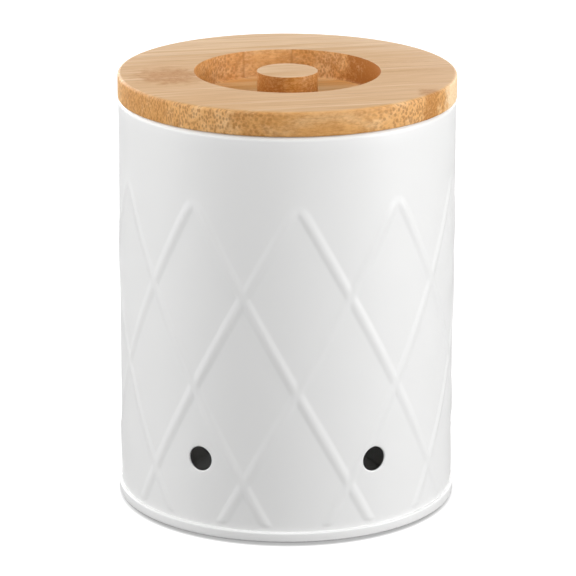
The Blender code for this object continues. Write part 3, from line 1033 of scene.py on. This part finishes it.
def makeSeal():
    bottom = seal["top"] - seal["height"]
    corners = [(seal["innerRadius"], bottom, seal["bodyRound"]),
               (seal["bodyRadius"], bottom, seal["bodyRound"])]
    for index in range(seal["fins"]):
        middle = bottom + seal["height"] / seal["fins"] * (index + 0.5)
        corners += [(seal["bodyRadius"], middle - seal["finThickness"] / 2, seal["finFootRound"]),
                    (seal["finRadius"], middle, seal["finRound"]),
                    (seal["bodyRadius"], middle + seal["finThickness"] / 2, seal["finFootRound"])]
    corners += [(seal["bodyRadius"], seal["top"], seal["bodyRound"]),
                (seal["innerRadius"], seal["top"], seal["bodyRound"])]
    piece = spinLine("sealRing", softCorners(corners, steps=4), seal["segments"])
    smoothBy(piece, 45)
    return piece


finishPiece(makeSeal(), "lid", makeSilicone(), "seal_ring")
print("seal ready")


# Floor and lights
floorFacts = {
    "size": 8.0,
    "colour": (0.24, 0.24, 0.24, 1),
    "shadowRing": (85.0 * mm, 86.5 * mm),    # painted shadow: a thin dark line where the foot stands
    "shadowDisc": (83.0 * mm, 87.6 * mm),    # and a wider painted shadow in front
    "shadowShift": 5.4 * mm,
    "shadowGlow": 0.24,
    "roughness": 0.9,
}


def makeFloor():
    selectNone()
    bpy.ops.mesh.primitive_grid_add(x_subdivisions=2, y_subdivisions=2, size=floorFacts["size"])
    floor = nameNew("paleFloor")
    material, tree, shader, place = newMaterial("paleFloorPaint")
    shader.inputs["Base Color"].default_value = floorFacts["colour"]
    shader.inputs["Roughness"].default_value = floorFacts["roughness"]
    shader.inputs["Specular IOR Level"].default_value = 0.0
    # painted shadow: the floor's camera-only glow is lowered near the foot
    glows = []
    for (start, end), shift in ((floorFacts["shadowRing"], 0),
                                (floorFacts["shadowDisc"], floorFacts["shadowShift"])):
        moved = addNode(tree, "ShaderNodeVectorMath", operation="ADD")
        feed(tree, place, moved.inputs[0])
        moved.inputs[1].default_value = (0, shift, 0)
        away = addNode(tree, "ShaderNodeVectorMath", operation="LENGTH")
        feed(tree, moved.outputs[0], away.inputs[0])
        glows.append(mapValue(tree, away.outputs["Value"], start, end, floorFacts["shadowGlow"], 1.0))
    glow = doMath(tree, "MINIMUM", *glows)
    seen = tree.nodes.new("ShaderNodeLightPath").outputs["Is Camera Ray"]
    shader.inputs["Emission Color"].default_value = (1, 1, 1, 1)
    feed(tree, doMath(tree, "MULTIPLY", seen, glow), shader.inputs["Emission Strength"])
    floor.data.materials.append(material)


lighting = {
    "air": 0.05,              # strength of the world where the camera and reflections don't see it
    "target": Vector((0, 0, 0.11)),
    "distance": 1.8,
    "lamps": {                # azimuth and height in degrees, size and power
        "keyRight": (73, 14, 1.0, 29.2),
        "fillLeft": (-75, 20, 1.2, 11.0),
        "sideLeft": (-110, 20, 1.2, 8.6),
        "frontLeft": (-40, 20, 1.2, 9.7),
        "frontSoft": (0, 30, 1.2, 5.1),
        "backLeft": (-150, 14, 1.0, 13.0),
        "backRight": (158, 14, 1.0, 6.5),
        "topSoft": (0, 80, 1.4, 7.2),
    },
}


def makeWorld():
    world = bpy.data.worlds.new("studioAir")
    bpy.context.scene.world = world
    world.use_nodes = True
    tree = world.node_tree
    tree.nodes.clear()
    path = tree.nodes.new("ShaderNodeLightPath").outputs
    seen = doMath(tree, "ADD", path["Is Camera Ray"],
                  doMath(tree, "ADD", path["Is Glossy Ray"], path["Is Transmission Ray"]), clamp=True)
    back = addNode(tree, "ShaderNodeBackground")
    back.inputs["Color"].default_value = (1, 1, 1, 1)
    feed(tree, mapValue(tree, seen, 0, 1, lighting["air"], 1.0, smooth=False), back.inputs["Strength"])
    out = addNode(tree, "ShaderNodeOutputWorld")
    feed(tree, back.outputs[0], out.inputs[0])


def makeLamp(name, azimuth, height, size, power):
    turn, rise = math.radians(azimuth), math.radians(height)
    away = Vector((math.sin(turn) * math.cos(rise), -math.cos(turn) * math.cos(rise), math.sin(rise)))
    place = lighting["target"] + away * lighting["distance"]
    selectNone()
    bpy.ops.object.light_add(type="AREA", location=place)
    lamp = bpy.context.object
    lamp.name = name
    lamp.data.shape = "DISK"
    lamp.data.size = size
    lamp.data.energy = power
    lamp.rotation_euler = (lighting["target"] - place).to_track_quat("-Z", "Y").to_euler()
    lamp.visible_glossy = name != "topSoft"    # no glint of it on the foot rim


makeFloor()
makeWorld()
for name, facts in lighting["lamps"].items():
    makeLamp(name, *facts)
bpy.context.scene.view_settings.view_transform = "Standard"
print("lights ready")
